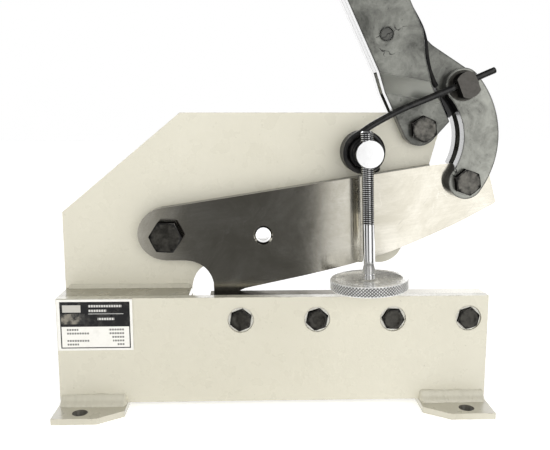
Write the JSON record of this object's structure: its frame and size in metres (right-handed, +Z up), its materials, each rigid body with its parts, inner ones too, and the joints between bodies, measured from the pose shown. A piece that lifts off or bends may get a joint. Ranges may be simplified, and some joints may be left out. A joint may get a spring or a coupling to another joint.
{
  "type": "hand lever metal shear",
  "caption": "Bench-mounted hand lever shear with a pivoting upper blade, fixed lower blade, compound lever with curved links, return spring and screw hold-down.",
  "frame": {"origin": "bottom centre of the bounding box, on the plane under the feet", "axes": "+X to the operator's right along the bed, +Y away from the operator, +Z up"},
  "size_m": [0.3606, 0.1172, 0.7436],
  "materials": {
    "cream_paint": "gloss enamel over plate",
    "ground_steel": "surface ground",
    "black_enamel": "worn glossy black",
    "black_fastener": "oiled black oxide",
    "spring_steel": "black spring wire",
    "chrome_plate": "bright plated",
    "rubber": "matte moulded",
    "label": "printed"
  },
  "bodies": {
    "frame": {"frame_plate": "cream_paint", "front_plate": "cream_paint", "web_plate": "cream_paint", "foot_left": "cream_paint", "foot_right": "cream_paint", "name_plate": "label", "lower_blade": "ground_steel", "blade_bolt_1": "black_fastener", "blade_bolt_2": "black_fastener", "blade_bolt_3": "black_fastener", "blade_bolt_4": "black_fastener", "round_bar_die": "ground_steel", "pivot_bolt": "black_fastener", "pivot_washer_front": "black_fastener", "pivot_bush": "ground_steel", "pivot_shim": "ground_steel", "pivot_washer_rear": "black_fastener", "pivot_nut": "black_fastener", "pivot_locknut": "black_fastener", "lever_bolt": "black_fastener", "lever_washer_front": "black_fastener", "lever_bush": "ground_steel", "lever_shim_front": "ground_steel", "lever_shim_rear": "ground_steel", "lever_washer_rear": "black_fastener", "lever_nut": "black_fastener", "holddown_stud": "chrome_plate", "holddown_nut": "black_fastener", "spring_coil": "spring_steel"},
    "blade": {"upper_blade": "ground_steel"},
    "lever": {"lever_cheek_front": "black_enamel", "lever_cheek_rear": "black_enamel", "lever_core": "black_enamel", "lever_rivet_1": "black_enamel", "lever_rivet_2": "black_enamel", "handle_tube": "black_enamel", "handle_grip": "rubber", "handle_bolt": "black_fastener", "handle_nut": "black_fastener"},
    "links": {"link_front": "black_enamel", "link_rear": "black_enamel", "link_bolt": "black_fastener", "link_washer": "black_fastener", "link_nut": "black_fastener"},
    "spring_arm": {"spring_arm": "spring_steel"},
    "eye_stud": {"eye_stud": "black_fastener", "eye_washer_front": "black_fastener", "eye_washer": "black_fastener", "eye_nut": "black_fastener"},
    "holddown": {"holddown_screw": "chrome_plate", "holddown_disk": "chrome_plate"}
  },
  "joints": [
    {"name": "lever_swing", "type": "hinge", "parent": "frame", "child": "lever", "pos_m": [0.1172, 0.00615, 0.227], "axis": [0, 1, 0], "range_deg": [0, 75], "stiffness_Nm_per_rad": 2, "springref_deg": -22.92},
    {"name": "blade_swing", "type": "hinge", "parent": "frame", "child": "blade", "pos_m": [-0.092, 0.01155, 0.1402], "axis": [0, 1, 0], "range_deg": [0, 12.5]},
    {"name": "link_swing", "type": "hinge", "parent": "lever", "child": "links", "pos_m": [0.1457, 0.01155, 0.2613], "axis": [0, 1, 0], "range_deg": [-66, 0]},
    {"name": "spring_swing", "type": "hinge", "parent": "frame", "child": "spring_arm", "pos_m": [0.0672, -0.00785, 0.2091], "axis": [0, 1, 0], "range_deg": [0, 35]},
    {"name": "eye_turn", "type": "hinge", "parent": "lever", "child": "eye_stud", "pos_m": [0.1457, 0.01155, 0.2613], "axis": [0, 1, 0], "range_deg": [-42, 0]},
    {"name": "holddown_feed", "type": "slide", "parent": "frame", "child": "holddown", "axis": [-0.0349, 0, 0.9994], "range_m": [-0.007, 0.035]}
  ],
  "couplings": [
    {"joint": "blade_swing", "follows": "lever_swing", "ratio": 0.16},
    {"joint": "link_swing", "follows": "lever_swing", "ratio": -0.867},
    {"joint": "spring_swing", "follows": "lever_swing", "ratio": 0.4547},
    {"joint": "eye_turn", "follows": "lever_swing", "ratio": -0.5453}
  ]
}
